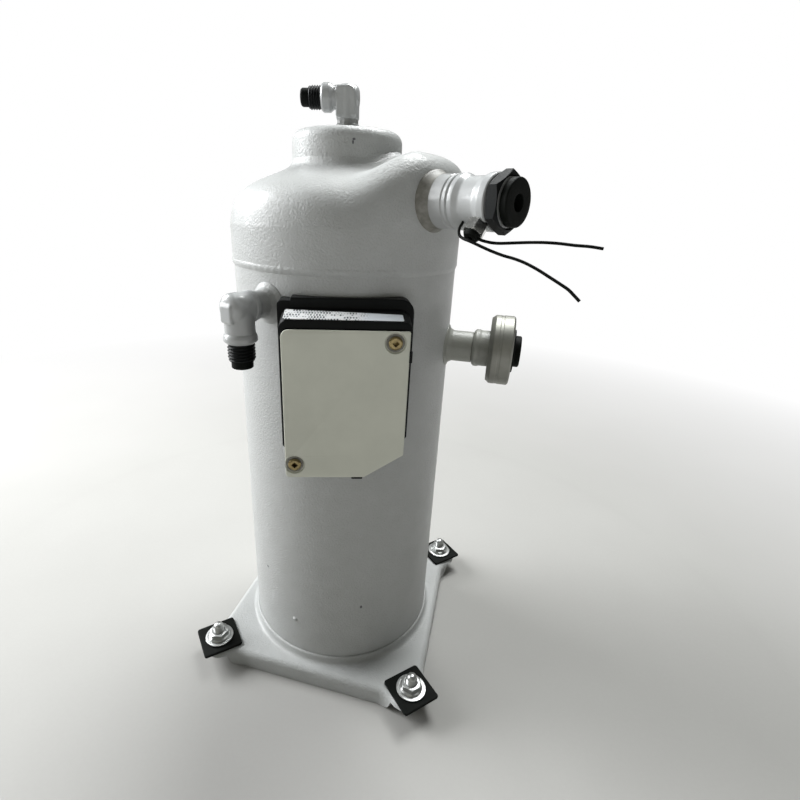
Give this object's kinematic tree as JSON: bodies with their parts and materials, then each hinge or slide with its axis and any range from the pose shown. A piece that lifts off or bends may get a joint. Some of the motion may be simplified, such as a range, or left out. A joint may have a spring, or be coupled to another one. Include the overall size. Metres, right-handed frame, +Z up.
{
  "type": "scroll compressor",
  "caption": "Hermetic scroll compressor with a tall welded shell, a domed unloading chamber, capped gas ports, a terminal box and a four-legged base plate.",
  "frame": {"origin": "on the shell axis, in the plane the compressor stands on", "axes": "+Z up along the shell axis, -Y to the front with the terminal box, +X to the suction port"},
  "size_m": [0.3003, 0.2442, 0.4997],
  "materials": {
    "grey_paint": "satin sprayed paint, slightly rough",
    "bare_steel": "machined",
    "zinc_plate": "bright zinc plating",
    "cast_iron": "as cast, machined faces",
    "black_plastic": "fine moulded texture",
    "black_rubber": "matt",
    "cover_plastic": "fine moulded texture",
    "label_film": "satin film",
    "yellow_plate": "yellow zinc plating",
    "copper_winding": "enamelled wire, varnished"
  },
  "bodies": {
    "housing": {"mid_shell": "grey_paint", "top_cap": "grey_paint", "lower_cap": "grey_paint", "unloading_hat": "grey_paint", "base_plate": "grey_paint", "discharge_stub": "grey_paint", "discharge_adapter": "grey_paint", "suction_stub": "grey_paint", "suction_adapter": "grey_paint", "unloading_elbow": "grey_paint", "injection_stub": "grey_paint", "injection_elbow": "grey_paint", "foot_pad_back_right": "black_rubber", "foot_washer_back_right": "zinc_plate", "foot_nut_back_right": "zinc_plate", "foot_bolt_back_right": "bare_steel", "foot_pad_back_left": "black_rubber", "foot_washer_back_left": "zinc_plate", "foot_nut_back_left": "zinc_plate", "foot_bolt_back_left": "bare_steel", "foot_pad_front_left": "black_rubber", "foot_washer_front_left": "zinc_plate", "foot_nut_front_left": "zinc_plate", "foot_bolt_front_left": "bare_steel", "foot_pad_front_right": "black_rubber", "foot_washer_front_right": "zinc_plate", "foot_nut_front_right": "zinc_plate", "foot_bolt_front_right": "bare_steel", "sensor_lead_front": "black_rubber", "sensor_lead_low": "black_rubber", "terminal_base": "black_plastic", "terminal_box": "black_plastic", "terminal_cover": "cover_plastic", "rating_label": "label_film", "sensor_fitting": "zinc_plate", "cover_screw_upper": "yellow_plate", "cover_screw_lower": "yellow_plate", "hermetic_terminal": "bare_steel", "muffler_plate": "bare_steel", "main_bearing_housing": "cast_iron", "lower_bearing": "cast_iron", "stator_core": "cast_iron", "stator_winding": "copper_winding"},
    "crank": {"crankshaft": "bare_steel", "drive_bushing": "yellow_plate", "rotor": "bare_steel", "upper_counterweight": "bare_steel", "lower_counterweight": "bare_steel"},
    "orbit": {"orbiting_scroll": "cast_iron"},
    "oldham": {"oldham_ring": "bare_steel"},
    "lift": {"fixed_scroll": "cast_iron", "unloading_piston": "bare_steel"},
    "seal": {"floating_seal": "bare_steel"},
    "check_valve": {"check_valve_disc": "bare_steel"},
    "discharge_nut": {"discharge_nut": "black_plastic"},
    "suction_nut": {"suction_nut": "bare_steel"},
    "discharge_plug": {"discharge_plug": "black_rubber"},
    "suction_plug": {"suction_plug": "black_rubber"},
    "unloading_cap": {"unloading_cap": "black_rubber"},
    "injection_cap": {"injection_cap": "black_rubber"}
  },
  "joints": [
    {"name": "crank_spin", "type": "hinge", "parent": "housing", "child": "crank", "pos_m": [0, 0, 0.19], "axis": [0, 0, 1], "continuous": true},
    {"name": "orbit_hold", "type": "hinge", "parent": "crank", "child": "orbit", "pos_m": [0.0038, 0, 0.313], "axis": [0, 0, 1], "continuous": true},
    {"name": "oldham_slide", "type": "slide", "parent": "housing", "child": "oldham", "axis": [1, 0, 0], "range_m": [-0.0076, 0]},
    {"name": "scroll_lift", "type": "slide", "parent": "housing", "child": "lift", "axis": [0, 0, 1], "range_m": [0, 0.001]},
    {"name": "seal_lift", "type": "slide", "parent": "housing", "child": "seal", "axis": [0, 0, 1], "range_m": [0, 0.001]},
    {"name": "check_valve_slide", "type": "slide", "parent": "housing", "child": "check_valve", "axis": [0.8572, -0.515, 0], "range_m": [0, 0.003]},
    {"name": "discharge_nut_turn", "type": "hinge", "parent": "housing", "child": "discharge_nut", "pos_m": [0.12258, -0.07365, 0.4197], "axis": [0.8572, -0.515, 0], "continuous": true},
    {"name": "suction_nut_turn", "type": "hinge", "parent": "housing", "child": "suction_nut", "pos_m": [0.133, 0, 0.31], "axis": [1, 0, 0], "continuous": true},
    {"name": "discharge_plug_pull", "type": "slide", "parent": "housing", "child": "discharge_plug", "axis": [0.8572, -0.515, 0], "range_m": [0, 0.02]},
    {"name": "suction_plug_pull", "type": "slide", "parent": "housing", "child": "suction_plug", "axis": [1, 0, 0], "range_m": [0, 0.02]},
    {"name": "unloading_cap_pull", "type": "slide", "parent": "housing", "child": "unloading_cap", "axis": [-0.9848, -0.1736, 0], "range_m": [0, 0.012]},
    {"name": "injection_cap_pull", "type": "slide", "parent": "housing", "child": "injection_cap", "axis": [0, 0, -1], "range_m": [0, 0.012]}
  ],
  "couplings": [
    {"joint": "orbit_hold", "follows": "crank_spin", "ratio": -1}
  ]
}
